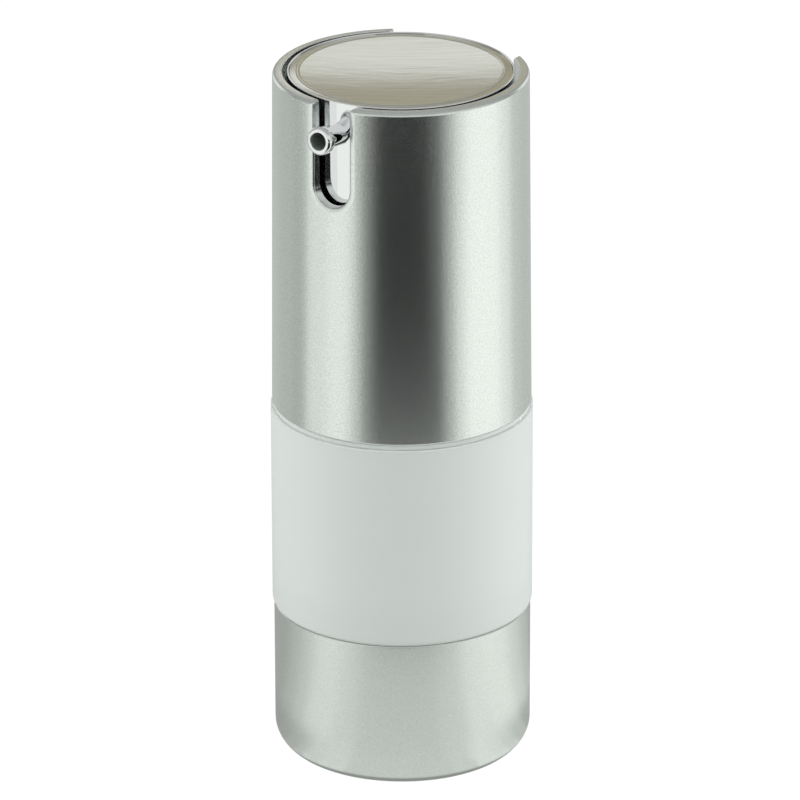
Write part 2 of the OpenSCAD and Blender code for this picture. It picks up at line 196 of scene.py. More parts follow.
def round_corner(piece, spot, radius):
    edit(piece)
    bpy.ops.mesh.select_all(action="DESELECT")
    bpy.ops.object.mode_set(mode="OBJECT")
    nearest = min(piece.data.vertices, key=lambda vertex: (vertex.co - spot).length)
    nearest.select = True
    bpy.ops.object.mode_set(mode="EDIT")
    bpy.ops.mesh.bevel(offset=radius, affect="VERTICES", segments=ROUND_STEPS, profile=0.5)
    bpy.ops.object.mode_set(mode="OBJECT")


def turned(name, corners, steps=TURN_STEPS, place=upright):
    """Spin an outline of (radius, distance along the axis, rounding) into a closed part."""
    clear_selection()
    bpy.ops.mesh.primitive_circle_add(vertices=len(corners), radius=1, fill_type="NGON")
    piece = bpy.context.object
    piece.name = piece.data.name = name
    for vertex, (radius, along, _) in zip(piece.data.vertices, corners):
        vertex.co = place(radius, along)
    for radius, along, rounding in corners:
        if rounding:
            round_corner(piece, place(radius, along), rounding)
    edit(piece)
    bpy.ops.mesh.delete(type="ONLY_FACE")
    bpy.ops.mesh.select_all(action="SELECT")
    centre = place(0, 0)
    axis = (place(0, 1) - centre).normalized()
    bpy.ops.mesh.spin(steps=steps, angle=2 * math.pi, center=centre, axis=axis)
    close_mesh(piece)
    smooth(piece)
    print(name, "has", len(piece.data.polygons), "faces")
    return piece


print("a full turn takes", TURN_STEPS, "steps")

# %% [markdown]
# Two shapes are not turned: the coil of the spring, and the tools that cut the sleeve. Both
# can be described as a row of rings, one after the other. A grid is laid through the rings,
# its two long sides are merged into a seam, and a face closes each end.

# %% Stretch a skin over rings


def skin(name, rings):
    """Closed mesh through rings of points that all have the same number of points."""
    around = len(rings[0])
    clear_selection()
    bpy.ops.mesh.primitive_grid_add(x_subdivisions=around, y_subdivisions=len(rings) - 1)
    piece = bpy.context.object
    piece.name = piece.data.name = name
    for index, vertex in enumerate(piece.data.vertices):
        ring, column = divmod(index, around + 1)
        vertex.co = rings[ring][column % around]
    edit(piece)
    bpy.ops.mesh.remove_doubles(threshold=MERGE)
    bpy.ops.mesh.select_all(action="DESELECT")
    bpy.ops.mesh.select_non_manifold()
    bpy.ops.mesh.edge_face_add()
    close_mesh(piece)
    print(name, "has", len(piece.data.polygons), "faces")
    return piece


# %% [markdown]
# ## Finishing tools
#
# Colours are written as the hex values that a screen shows, and one function turns them
# into the linear light that the renderer computes with. A second small function adds a
# node with its options and its sockets, so each finish below reads as a short recipe.

# %% Mix a finish


def light_of(hex_colour):
    parts = [int(hex_colour[i:i + 2], 16) / 255 for i in (1, 3, 5)]
    linear = [p / 12.92 if p <= 0.04045 else ((p + 0.055) / 1.055) ** 2.4 for p in parts]
    return (*linear, 1.0)


def add_node(material, kind, sockets=None, **options):
    made = material.node_tree.nodes.new(kind)
    for key, value in options.items():
        setattr(made, key, value)
    for key, value in (sockets or {}).items():
        if isinstance(value, bpy.types.NodeSocket):
            material.node_tree.links.new(value, made.inputs[key])
        else:
            made.inputs[key].default_value = value
    return made


def link(material, source, socket):
    material.node_tree.links.new(source, socket)


def new_finish(name):
    """An empty material with a Principled shader, and that shader."""
    material = bpy.data.materials.new(name)
    material.use_nodes = True
    material.node_tree.nodes.clear()
    shader = add_node(material, "ShaderNodeBsdfPrincipled")
    add_node(material, "ShaderNodeOutputMaterial", {"Surface": shader.outputs["BSDF"]})
    return material, shader


print("white as light:", light_of("#FFFFFF"))

# %% [markdown]
# No real surface is perfectly even. Three more helpers bring in what the eye expects: a
# noise whose grains have a real width, a bump that lets that noise catch the light, and a
# roughness that drifts between two values.

# %% Grain a surface


def own_place(material):
    return add_node(material, "ShaderNodeTexCoord").outputs["Object"]


def grain(material, place, width, detail=2.0, roughness=0.5, distortion=0.0):
    """Noise at a place, with grains that are about this many millimetres wide."""
    noise = add_node(material, "ShaderNodeTexNoise", {
        "Vector": place, "Scale": 1 / mm(width), "Detail": detail,
        "Roughness": roughness, "Distortion": distortion})
    return noise.outputs["Fac"]


def raise_grain(material, height, strength, depth, over=None):
    """Normal that rises and falls with the noise by up to this many millimetres."""
    sockets = {"Strength": strength, "Distance": mm(depth), "Height": height}
    if over:
        sockets["Normal"] = over
    return add_node(material, "ShaderNodeBump", sockets).outputs["Normal"]


def drifting(material, source, low, high):
    drift = add_node(material, "ShaderNodeMapRange", {
        "Value": source, "To Min": low, "To Max": high})
    return drift.outputs["Result"]


print("a grain of 0.2 mm has a noise scale of", 1 / mm(0.2))

# %% [markdown]
# ## Silver lacquer
#
# The sleeve and the base cup are moulded plastic under a sprayed silver lacquer. Its
# aluminium flakes lie flat and act as thousands of small mirrors, so the coat reflects the
# studio like metal but spreads each reflection into soft bands. The flakes show as a very
# fine grain. They are really about 0.03 mm across and are drawn at 0.2 mm, because
# anything finer would vanish between two pixels. Most of the grain is a change of shade,
# with only a shallow bump: a deep one looks like leather.

# %% Make the silver lacquer
FLAKE = 0.2
FLAKE_DEPTH = 0.025
FLAKE_STRENGTH = 0.3


def silver_lacquer(name, shade_dark, shade_light, roughness):
    material, shader = new_finish(name)
    flakes = grain(material, own_place(material), FLAKE, detail=1.0, roughness=0.6)
    shade = add_node(material, "ShaderNodeMix", {
        "Factor": flakes, "A": light_of(shade_dark), "B": light_of(shade_light)},
        data_type="RGBA")
    link(material, shade.outputs["Result"], shader.inputs["Base Color"])
    link(material, raise_grain(material, flakes, FLAKE_STRENGTH, FLAKE_DEPTH),
         shader.inputs["Normal"])
    shader.inputs["Metallic"].default_value = 1.0
    shader.inputs["Roughness"].default_value = roughness
    return material


sleeve_lacquer = silver_lacquer("silver_lacquer_sprayed", "#CFD6D1", "#FBFEFC", 0.235)
base_lacquer = silver_lacquer("silver_lacquer_base", "#D6DCD7", "#F8FCF9", 0.30)
print("lacquers:", sleeve_lacquer.name, base_lacquer.name)

# %% [markdown]
# ## Chromed plastic
#
# The button cup and the nozzle are moulded ABS, plated with nickel and a thin bright
# chromium layer. The plating is a true mirror, slightly cooler than silver. Only faint
# long waves from the moulding keep it from looking computer-made. The current can't reach
# far into a narrow bore, so the outlet keeps a thin dull strike. Its dark grey is also
# painted shade, standing in for the shadow deep inside the bore.

# %% Make the chrome
WAVE = 6.0
STAIN = 0.5

chrome, shader = new_finish("chromed_abs_plated")
waves = grain(chrome, own_place(chrome), WAVE, detail=1.0)
link(chrome, raise_grain(chrome, waves, strength=0.02, depth=0.05),
     shader.inputs["Normal"])
shader.inputs["Base Color"].default_value = light_of("#F0F1F2")
shader.inputs["Metallic"].default_value = 1.0
shader.inputs["Roughness"].default_value = 0.04

# The bore's dull finish with a dark grey that is painted shade for the shadow inside the
# outlet.
bore_dull_and_painted_shade, shader = new_finish("nickel_strike_dull_painted_shade")
stain = grain(bore_dull_and_painted_shade, own_place(bore_dull_and_painted_shade), STAIN)
link(bore_dull_and_painted_shade, drifting(bore_dull_and_painted_shade, stain, 0.4, 0.6), shader.inputs["Roughness"])
shader.inputs["Base Color"].default_value = light_of("#8A908A")
shader.inputs["Metallic"].default_value = 0.2
print("chrome:", chrome.name, "and", bore_dull_and_painted_shade.name)

# %% [markdown]
# ## Brushed aluminium disc
#
# The disc is stamped from sheet aluminium that was brushed along one direction and then
# anodised to a pale champagne tone. The brush lines are very long and a quarter of a
# millimetre wide. A noise that is stretched along the brushing gives them, both as a shade
# and as a bump. A second, coarser noise adds the shallow creases of a thin sheet that was
# pressed and glued, which break up what the disc mirrors.

# %% Make the brushed disc's finish
BRUSH_WIDTH = 0.25
BRUSH_STRETCH = 40.0
CREASE_WIDTH = 1.8
CREASE_STRETCH = 3.0

brushed, shader = new_finish("champagne_aluminium_brushed")
along_brush = add_node(brushed, "ShaderNodeMapping", {
    "Vector": own_place(brushed), "Rotation": (0, 0, -PHOTO_BEARING)}).outputs["Vector"]


def stretched(times):
    return add_node(brushed, "ShaderNodeMapping", {
        "Vector": along_brush, "Scale": (1 / times, 1, 1)}).outputs["Vector"]


lines = grain(brushed, stretched(BRUSH_STRETCH), BRUSH_WIDTH, detail=3.0, roughness=0.6)
creases = grain(brushed, stretched(CREASE_STRETCH), CREASE_WIDTH, detail=3.0,
                roughness=0.55, distortion=0.4)
tone = add_node(brushed, "ShaderNodeMix", {
    "Factor": lines, "A": light_of("#BCBDB2"), "B": light_of("#E4E6DE")}, data_type="RGBA")
link(brushed, tone.outputs["Result"], shader.inputs["Base Color"])
brush_normal = raise_grain(brushed, lines, strength=0.2, depth=0.01)
link(brushed, raise_grain(brushed, creases, strength=0.3, depth=0.04, over=brush_normal),
     shader.inputs["Normal"])
shader.inputs["Metallic"].default_value = 1.0
shader.inputs["Roughness"].default_value = 0.13
print("disc finish:", brushed.name)

# %% [markdown]
# ## Frosted jacket
#
# The jacket is clear plastic from a finely spark-eroded mould. The rough skin scatters
# light both ways, so the wall glows evenly and the parts behind it only show as faint
# shadows. A little transmission with a high roughness gives that, over a pale green-grey
# tint.

# %% Make the frosted plastic
SPARK_PIT = 0.25

frosted, shader = new_finish("frosted_clear_plastic_eroded")
pits = grain(frosted, own_place(frosted), SPARK_PIT)
link(frosted, raise_grain(frosted, pits, strength=0.06, depth=0.02),
     shader.inputs["Normal"])
shader.inputs["Base Color"].default_value = light_of("#EBF0ED")
shader.inputs["Roughness"].default_value = 0.5
shader.inputs["IOR"].default_value = 1.49
shader.inputs["Transmission Weight"].default_value = 0.25
print("jacket finish:", frosted.name)

# %% [markdown]
# ## Hidden parts
#
# The hidden mouldings are natural polypropylene and polyethylene: off-white, slightly waxy,
# with the fine texture of an untreated mould. One recipe serves them, and the rubber of
# the gasket, with different tints.

# %% Make the mouldings


def moulding(name, tint, roughness, width):
    material, shader = new_finish(name)
    texture = grain(material, own_place(material), width)
    link(material, raise_grain(material, texture, strength=0.1, depth=0.02),
         shader.inputs["Normal"])
    shader.inputs["Base Color"].default_value = light_of(tint)
    shader.inputs["Roughness"].default_value = roughness
    shader.inputs["IOR"].default_value = 1.5
    return material


white_moulding = moulding("polypropylene_moulded", "#F2F2EF", 0.42, 0.4)
waxy_moulding = moulding("polyethylene_moulded", "#F6F5F0", 0.5, 0.3)
gasket_rubber = moulding("silicone_rubber_pressed", "#D8DBD8", 0.7, 0.3)
print("mouldings:", white_moulding.name, waxy_moulding.name, gasket_rubber.name)

# %% [markdown]
# The spring is drawn stainless wire, whose drawing marks make its shine uneven. The valve
# ball is ground glass, nearly clear. Then every solid that keeps its own mesh gets its
# finish.

# %% Make the wire and the ball, and finish the solids
DRAW_MARK = 0.3
GRIND_MARK = 0.2

wire, shader = new_finish("stainless_wire_drawn")
marks = grain(wire, own_place(wire), DRAW_MARK)
link(wire, drifting(wire, marks, 0.18, 0.32), shader.inputs["Roughness"])
shader.inputs["Base Color"].default_value = light_of("#C9CBCD")
shader.inputs["Metallic"].default_value = 1.0

ball_glass, shader = new_finish("soda_glass_ground")
marks = grain(ball_glass, own_place(ball_glass), GRIND_MARK)
link(ball_glass, drifting(ball_glass, marks, 0.02, 0.1), shader.inputs["Roughness"])
shader.inputs["Base Color"].default_value = light_of("#E8F0EC")
shader.inputs["Transmission Weight"].default_value = 0.8
shader.inputs["IOR"].default_value = 1.52

solid_finish = {
    "inner_cup": white_moulding, "inner_plug": white_moulding,
    "follower_piston": waxy_moulding, "closure_ring": white_moulding,
    "neck_gasket": gasket_rubber, "pump_housing": white_moulding,
    "inlet_seat": white_moulding, "ball_cage": white_moulding, "inlet_ball": ball_glass,
    "pump_piston": waxy_moulding, "stem_plunger": white_moulding, "stem": white_moulding,
    "stem_guide": white_moulding, "liner_ring": white_moulding, "button_core": white_moulding}
for name, material in solid_finish.items():
    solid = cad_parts[name]
    solid.data.materials.clear()
    solid.data.materials.append(material)
print("solids finished:", len(solid_finish))

# %% [markdown]
# ## Dress a part
#
# A remade part takes the place of its solid: it rides on the same body, hides the solid
# and carries its finish. One function says all three.

# %% Dress a remade part


def dress(piece, node, body, material):
    piece.data.materials.clear()
    piece.data.materials.append(material)
    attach(piece, body)
    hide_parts(node)
    print(piece.name, "replaces", node, "and rides on", body)


# %% [markdown]
# ## Base cup
#
# The base cup is a plain round cup whose lower edge is rolled into a generous rounding,
# so it catches a thin dark line where it meets the table. A thinner spigot stands up from
# it inside the jacket and holds the two together.

# %% Turn the base cup
BASE_ROUNDING = mm(3.6)
BASE_WALL = mm(1.5)
BASE_FLOOR = mm(2.4)
BASE_EDGE = mm(0.25)
FLOOR_FILLET = mm(1.8)
SPIGOT_WALL = mm(0.9)
SPIGOT_ROOT = mm(2.0)
SPIGOT_EDGE = mm(0.2)
JACKET_WALL = mm(1.3)

jacket_bore = jacket_radius - JACKET_WALL
spigot_bore = jacket_bore - SPIGOT_WALL
base_bore = base_radius - BASE_WALL
base_cup = turned("base_cup_turned", [
    (0, 0, 0), (base_radius, 0, BASE_ROUNDING), (base_radius, jacket_low, BASE_EDGE),
    (jacket_bore, jacket_low, 0), (jacket_bore, base_spigot_top, SPIGOT_EDGE),
    (spigot_bore, base_spigot_top, SPIGOT_EDGE), (spigot_bore, jacket_low - SPIGOT_ROOT, 0),
    (base_bore, jacket_low - SPIGOT_ROOT, 0), (base_bore, BASE_FLOOR, FLOOR_FILLET),
    (0, BASE_FLOOR, 0)])
dress(base_cup, "base_cup", "bottle", base_lacquer)

# %% [markdown]
# ## Frosted jacket
#
# The jacket is a tube with soft edges. Just under the sleeve it steps in to a fine groove,
# and a low collar stands on the groove: the shadow line and the light line that the
# photograph shows there. Above the collar a spigot goes on inside the sleeve. All of it is
# one outline, so groove and collar stay one wall with the tube, as they are when moulded.

# %% Turn the jacket
JACKET_EDGE = mm(0.6)
BORE_EDGE = mm(0.1)
SHADOW_GAP = mm(0.75)
SHOULDER_EDGE = mm(0.06)
GROOVE_DEPTH = mm(0.6)
GROOVE_HEIGHT = mm(0.12)
COLLAR_STEP = mm(0.4)
COLLAR_EDGE = mm(0.05)
SLEEVE_CLEARANCE = mm(0.04)
TOP_STEP = mm(1.8)
TOP_WALL = mm(1.4)
NECK_HOLE = mm(12.8)
CUP_CLEARANCE = mm(0.1)
BORE_TAPER = (mm(0.3), mm(1.5))

shoulder = sleeve_low - SHADOW_GAP
groove_top = shoulder + GROOVE_HEIGHT
groove_radius = jacket_radius - GROOVE_DEPTH
collar_top = sleeve_low - SLEEVE_CLEARANCE
collar_radius = jacket_radius - COLLAR_STEP
top_radius = jacket_radius - TOP_STEP
ledge = jacket_high - TOP_WALL
cup_radius = outer_radius("inner_cup") + CUP_CLEARANCE
jacket = turned("frosted_jacket_turned", [
    (jacket_bore, jacket_low, BORE_EDGE), (jacket_radius, jacket_low, JACKET_EDGE),
    (jacket_radius, shoulder, SHOULDER_EDGE), (groove_radius, shoulder, 0),
    (groove_radius, groove_top, 0), (collar_radius, groove_top, 0),
    (collar_radius, collar_top, COLLAR_EDGE), (top_radius, collar_top, 0),
    (top_radius, jacket_high, SPIGOT_EDGE), (NECK_HOLE, jacket_high, 0),
    (NECK_HOLE, ledge, 0), (cup_radius, ledge, 0),
    (cup_radius, shoulder + BORE_TAPER[0], 0), (jacket_bore, shoulder - BORE_TAPER[1], 0)])
dress(jacket, "frosted_jacket", "bottle", frosted)

# %% [markdown]
# ## Button cup
#
# The button is a deep chromed cup turned upside down. Its rim stands a little proud as a
# polished rounded lip around the disc. The lip's two edges have roundings of their own, so
# that it mirrors the studio as a fine bright ring.

# %% Turn the button cup
BUTTON_WALL = mm(1.0)
PLATE = mm(0.85)
GLUE = mm(0.04)
DISC_GAP = mm(0.02)
CUP_FILLET = mm(0.3)
SKIRT_EDGE = mm(0.2)
LIP_OUTSIDE = 0.5
LIP_INSIDE = 0.35

lip_inside = disc_radius + DISC_GAP
lip_width = button_radius - lip_inside
plate_top = disc_low - GLUE
button_bore = button_radius - BUTTON_WALL
button_cup = turned("button_cup_turned", [
    (0, plate_top - PLATE, 0), (button_bore, plate_top - PLATE, CUP_FILLET),
    (button_bore, skirt_low, SKIRT_EDGE), (button_radius, skirt_low, SKIRT_EDGE),
    (button_radius, button_top, lip_width * LIP_OUTSIDE),
    (lip_inside, button_top, lip_width * LIP_INSIDE),
    (lip_inside, plate_top, 0), (0, plate_top, 0)])
dress(button_cup, "button_cup", "button", chrome)

# %% [markdown]
# ## Disc
#
# The disc is a stamped sheet. Its border falls a little outwards, a low bead is pressed
# inside it, and the middle is dished by 0.3 mm, which bends the reflections of the studio.
# Bead and dish are drawn as two smooth curves in the outline: shape bends a reflection as
# one clean band, where a bump in the finish would only shade it.

# %% Turn the disc
BORDER_DROP = mm(0.1)
BORDER_FALL = mm(0.08)
DISC_EDGE = mm(0.1)
BEAD_RADIUS = mm(14.1)
BEAD_WIDTH = mm(0.7)
BEAD_HEIGHT = mm(0.055)
DISH = mm(0.3)
DISH_STEPS = 16

border = button_top - BORDER_DROP
profile = []
for step in range(DISH_STEPS + 1):
    share = 1 - 2 * step / DISH_STEPS
    profile.append((BEAD_RADIUS + share * BEAD_WIDTH / 2,
                    border + BEAD_HEIGHT * (1 + math.cos(math.pi * share)) / 2, 0))
field_radius = BEAD_RADIUS - BEAD_WIDTH / 2
for step in range(1, DISH_STEPS + 1):
    share = 1 - step / DISH_STEPS
    profile.append((field_radius * share, border - DISH * (1 - share ** 2), 0))
disc = turned("brushed_disc_turned", [
    (0, disc_low, 0), (disc_radius, disc_low, 0),
    (disc_radius, border - BORDER_FALL, DISC_EDGE), *profile])
dress(disc, "brushed_disc", "button", brushed)

# %% [markdown]
# ## Nozzle
#
# The nozzle is a straight tube that tilts up by 6 degrees, with a flange at its tip and a
# dark outlet. It is turned like the other parts, only around its own axis, which a second
# placing function lays through the tip. The faces of the bore get the dull finish, whose
# dark grey is painted shade for the shadow inside the outlet.

# %% Turn the nozzle
NOZZLE_TILT = math.radians(6)
NOZZLE_TIP = Vector((0, mm(-20.5), mm(95.9)))
NOZZLE_LENGTH = mm(11.0)
NOZZLE_STEPS = 144
TUBE_RADIUS = mm(1.5)
TUBE_EDGE = mm(0.2)
TIP_RADIUS = mm(1.95)
TIP_LENGTH = mm(1.5)
TIP_EDGE = mm(0.45)
TIP_FILLET = mm(0.1)
OUTLET_RADIUS = mm(1.2)
OUTLET_DEPTH = mm(3)
OUTLET_EDGE = mm(0.12)
CHANNEL_RADIUS = mm(0.8)
PLATED_DEPTH = mm(0.2)

nozzle_heading = Vector((0, -math.cos(NOZZLE_TILT), math.sin(NOZZLE_TILT)))


def on_nozzle_axis(radius, behind_tip):
    return NOZZLE_TIP + Vector((radius, 0, 0)) - nozzle_heading * behind_tip


nozzle = turned("nozzle_turned", [
    (CHANNEL_RADIUS, NOZZLE_LENGTH, 0), (TUBE_RADIUS, NOZZLE_LENGTH, TUBE_EDGE),
    (TUBE_RADIUS, TIP_LENGTH, TIP_FILLET), (TIP_RADIUS, TIP_LENGTH, TIP_EDGE),
    (TIP_RADIUS, 0, TIP_EDGE), (OUTLET_RADIUS, 0, OUTLET_EDGE),
    (OUTLET_RADIUS, OUTLET_DEPTH, 0), (CHANNEL_RADIUS, OUTLET_DEPTH, 0)],
    steps=NOZZLE_STEPS, place=on_nozzle_axis)
dress(nozzle, "nozzle", "button", chrome)
nozzle.data.materials.append(bore_dull_and_painted_shade)
# Faces deep in the bore take the dull finish, whose dark grey is painted shade.
for face in nozzle.data.polygons:
    behind = (NOZZLE_TIP - face.center).dot(nozzle_heading)
    off_axis = (face.center - NOZZLE_TIP + nozzle_heading * behind).length
    in_bore = off_axis < OUTLET_RADIUS + mm(0.02)
    face.material_index = int(in_bore and behind > PLATED_DEPTH)
print("faces of the dull bore:", sum(face.material_index for face in nozzle.data.polygons))

# %% [markdown]
# ## Return spring
#
# On the real bottle the spring gives way to the button; here it is one fixed mesh that is
# attached to no body. It could be a curve with a round bevel, but rings of points along
# the coil give an even mesh right away. Half a turn at each end lies flat, as on a real
# spring.

# %% Wind the spring
WIRE_RADIUS = mm(0.4)
WIRE_SIDES = 16
SPRING_TURNS = 5
COIL_STEPS = 240
FLAT_END = 0.1

coil_low, coil_high = height_span("return_spring")
coil_radius = outer_radius("return_spring") - WIRE_RADIUS
coil_rise = coil_high - coil_low - 2 * WIRE_RADIUS


def wire_ring(share):
    """Points around the wire at this share of the coil's length."""
    turn_angle = 2 * math.pi * SPRING_TURNS * share
    climbed = min(1, max(0, (share - FLAT_END) / (1 - 2 * FLAT_END)))
    ring = []
    for side in range(WIRE_SIDES):
        around = 2 * math.pi * side / WIRE_SIDES
        radius = coil_radius + WIRE_RADIUS * math.cos(around)
        height = coil_low + WIRE_RADIUS * (1 + math.sin(around)) + coil_rise * climbed
        ring.append((radius * math.cos(turn_angle), radius * math.sin(turn_angle), height))
    return ring


spring = skin("return_spring_wound",
              [wire_ring(step / COIL_STEPS) for step in range(COIL_STEPS + 1)])
smooth(spring)
spring.data.materials.append(wire)
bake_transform(spring)
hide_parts("return_spring")
print("spring from", round(coil_low, 4), "to", round(coil_high, 4), "m")

# %% [markdown]
# ## Outer sleeve
#
# The sleeve starts as a turned tube that is a little narrower at the top, as moulded parts
# are, so that they leave the mould. Its top face falls slightly outwards, and each edge has
# a small rounding of its own, which draws the rim as a clear ring beside the dark gap.

# %% Turn the sleeve
SLEEVE_TOP_RADIUS = mm(17.55)
RIM_ROUNDING = mm(0.45)
RIM_FALL = mm(0.18)
RIM_INSIDE = mm(0.18)
MOUTH_WALL = mm(1.3)
MOUTH_EDGE = mm(0.1)
LOWER_EDGE = mm(0.28)
BUTTON_GAP = mm(0.6)
LINER_ROOM = mm(0.5)

sleeve_bore = button_radius + BUTTON_GAP
mouth_radius = sleeve_low_radius - MOUTH_WALL
bore_low = jacket_high + LINER_ROOM
sleeve = turned("outer_sleeve_turned", [
    (mouth_radius, sleeve_low, MOUTH_EDGE), (sleeve_low_radius, sleeve_low, LOWER_EDGE),
    (SLEEVE_TOP_RADIUS, rim - RIM_FALL, RIM_ROUNDING), (sleeve_bore, rim, RIM_INSIDE),
    (sleeve_bore, bore_low, 0), (mouth_radius, bore_low, 0)])

# %% [markdown]
# The nozzle slot and the finger notch are both U-shaped, and their mouths at the rim open
# outwards in a small quarter round. One function draws that outline for any width and
# depth, and can widen it all round by the same amount.

# %% Draw a U with an open mouth
CURVE_STEPS = 20
CLEAR = mm(3)
FLARE = mm(0.5)
MOUTH_OVERLAP = mm(0.02)


def arc(centre, radius, start, end):
    """Points on a quarter turn, angles in degrees."""
    points = []
    for step in range(CURVE_STEPS + 1):
        angle = math.radians(start + (end - start) * step / CURVE_STEPS)
        points.append((centre[0] + radius * math.cos(angle),
                       centre[1] + radius * math.sin(angle)))
    return points


def u_outline(width, depth, corner, growth):
    """U-shaped outline that is open above the rim, widened all round by growth."""
    half = width / 2 + growth
    corner = corner + growth
    foot = rim - depth - growth
    mouth = FLARE + MOUTH_OVERLAP
    right = [(half + mouth, rim + CLEAR), (half + mouth, rim)]
    right += arc((half + mouth, rim - mouth), mouth, 90, 180)[1:]
    right += arc((half - corner, foot + corner), corner, 0, -90)
    left = [(-x, z) for x, z in reversed(right)]
    return right + left


print("points in an outline:", len(u_outline(mm(6), mm(15), mm(3), 0)))

# %% [markdown]
# A cutting tool is a block that is shaped like the air it leaves. It runs straight through
# the wall and flares near the outer face, so the cut and the rounded lip around it come
# from one stroke. A bevel after the cut would be uneven here, because the edge runs over a
# round and slightly conical wall. That lip catches the bright line around the slot.

# %% Shape a cutting tool
LIP_STEPS = 8
LIP_END = math.radians(80)
TOOL_START = mm(9)
PROUD = mm(0.08)


def sleeve_radius_at(height):
    share = (height - sleeve_low) / (rim - sleeve_low)
    return sleeve_low_radius + (SLEEVE_TOP_RADIUS - sleeve_low_radius) * share


def on_wall(x, height, depth_in_wall, side):
    radius = sleeve_radius_at(min(height, rim)) - depth_in_wall
    return Vector((x, side * math.sqrt(radius ** 2 - x ** 2), height))


def cutting_tool(name, side, width, depth, corner, lip_width, lip_depth):
    """Block through one side of the sleeve: -1 is the nozzle's side, 1 the notch's."""
    inner = u_outline(width, depth, corner, 0)
    rings = [[Vector((x, side * TOOL_START, z)) for x, z in inner]]
    for step in range(LIP_STEPS + 1):
        angle = LIP_END * step / LIP_STEPS
        growth = lip_width * (1 - math.cos(angle))
        sunk = lip_depth * (1 - math.sin(angle))
        outline = u_outline(width, depth, corner, growth)
        rings.append([on_wall(x, z, sunk, side) for x, z in outline])
    growth += (sunk + PROUD) * math.tan(LIP_END) * lip_width / lip_depth
    outline = u_outline(width, depth, corner, growth)
    rings.append([on_wall(x, z, -PROUD, side) for x, z in outline])
    rings.append([Vector((x, side * (sleeve_low_radius + CLEAR), z)) for x, z in outline])
    return skin(name, rings)


print("sleeve's radius halfway up:", round(sleeve_radius_at((sleeve_low + rim) / 2), 5), "m")

# %% [markdown]
# Two Boolean cuts finish the sleeve. The exact solver is the right one here, because the
# tools meet the wall at a grazing angle, where the fast one leaves gaps. Each cut is
# applied at once and its tool removed, so nothing but the sleeve stays in the scene.

# %% Cut the slot and the notch
SLOT_WIDTH = mm(5.7)
SLOT_DEPTH = mm(14.6)
SLOT_LIP = (mm(1.0), mm(0.35))
NOTCH_WIDTH = mm(20.6)
NOTCH_DEPTH = mm(12)
NOTCH_CORNER = mm(5)
NOTCH_LIP = (mm(0.25), mm(0.2))

tools = [
    cutting_tool("slot_tool", -1, SLOT_WIDTH, SLOT_DEPTH, SLOT_WIDTH / 2, *SLOT_LIP),
    cutting_tool("notch_tool", 1, NOTCH_WIDTH, NOTCH_DEPTH, NOTCH_CORNER, *NOTCH_LIP)]
for tool in tools:
    cut = sleeve.modifiers.new("cut", "BOOLEAN")
    cut.operation = "DIFFERENCE"
    cut.solver = "EXACT"
    cut.object = tool
    bpy.context.view_layer.objects.active = sleeve
    bpy.ops.object.modifier_apply(modifier=cut.name)
    bpy.data.objects.remove(tool)
close_mesh(sleeve)
smooth(sleeve)
dress(sleeve, "outer_sleeve", "head", sleeve_lacquer)
print("sleeve has", len(sleeve.data.polygons), "faces after cutting")

# %% [markdown]
# ## Table and studio
#
# The bottle stands on a white light table that runs out of the picture on all sides, so no
# shadow falls. A glowing plane gives that evenly, without a lamp below it.

# %% Lay the table
TABLE_SIZE = 6.0
TABLE_GLOW = 1.03
WHITE = "#FFFFFF"


def glowing(name, grey, tint=WHITE):
    material = bpy.data.materials.new(name)
    material.use_nodes = True
    material.node_tree.nodes.clear()
    glow = add_node(material, "ShaderNodeEmission", {
        "Color": light_of(tint), "Strength": grey})
    add_node(material, "ShaderNodeOutputMaterial", {"Surface": glow.outputs["Emission"]})
    return material


clear_selection()
bpy.ops.mesh.primitive_plane_add(size=TABLE_SIZE)
table = bpy.context.object
table.name = table.data.name = "light_table"
table.data.materials.append(glowing("opal_acrylic_backlit", TABLE_GLOW))
print("table:", TABLE_SIZE, "m wide")

# %% [markdown]
# Upright metal reflects the table around it, not the ceiling, because the camera looks
# down. A photographer lays dark and grey cards around a metal object to give it form, and
# so does this scene: the cards are seen in reflections only. A card is a thin strip that is
# swept around the bottle's axis. Bearings are counted from the camera, with plus to the
# right, and the same function sets flat cards on the table and curved cards upright.

# %% Cut a card
CARD_STEP = 4.0


def card(name, bearings, near, far, grey, low, high, tint):
    """Strip from (near, low) to (far, high), swept between two bearings in degrees."""
    start, end = bearings
    first = PHOTO_BEARING + math.radians(start)
    outward = Vector((math.sin(first), -math.cos(first), 0))
    clear_selection()
    bpy.ops.mesh.primitive_plane_add(size=1)
    piece = bpy.context.object
    piece.name = piece.data.name = name
    edit(piece)
    bpy.ops.mesh.merge(type="CENTER")
    bpy.ops.mesh.extrude_region_move(TRANSFORM_OT_translate={"value": (0, 0, 1)})
    bpy.ops.object.mode_set(mode="OBJECT")
    inner, outer = piece.data.vertices
    inner.co = outward * near + upward * low
    outer.co = outward * far + upward * high
    edit(piece)
    bpy.ops.mesh.spin(steps=round((end - start) / CARD_STEP), angle=math.radians(end - start),
                      center=(0, 0, 0), axis=(0, 0, -1))
    bpy.ops.object.mode_set(mode="OBJECT")
    piece.data.materials.append(glowing(name + "_paper", grey, tint))
    piece.visible_camera = False
    piece.visible_shadow = False
    piece.visible_transmission = False


print("a card bends every", CARD_STEP, "degrees")

# %% [markdown]
# Four rings of cards lie on the table, the small ones on top of the large ones. The far
# ring shapes the sleeve: black in front for its dark middle, white at both sides for its
# bright flanks. The near ring does the same for the base cup, and the heel and foot rings
# for the rounding at its lower edge, which looks at the table close by. Each ring is a list
# of bearings where a new grey begins, because a reflection is read off in bands. One more
# card of dusky grey lies on the black in front, so that the black doesn't begin at a hard
# line.

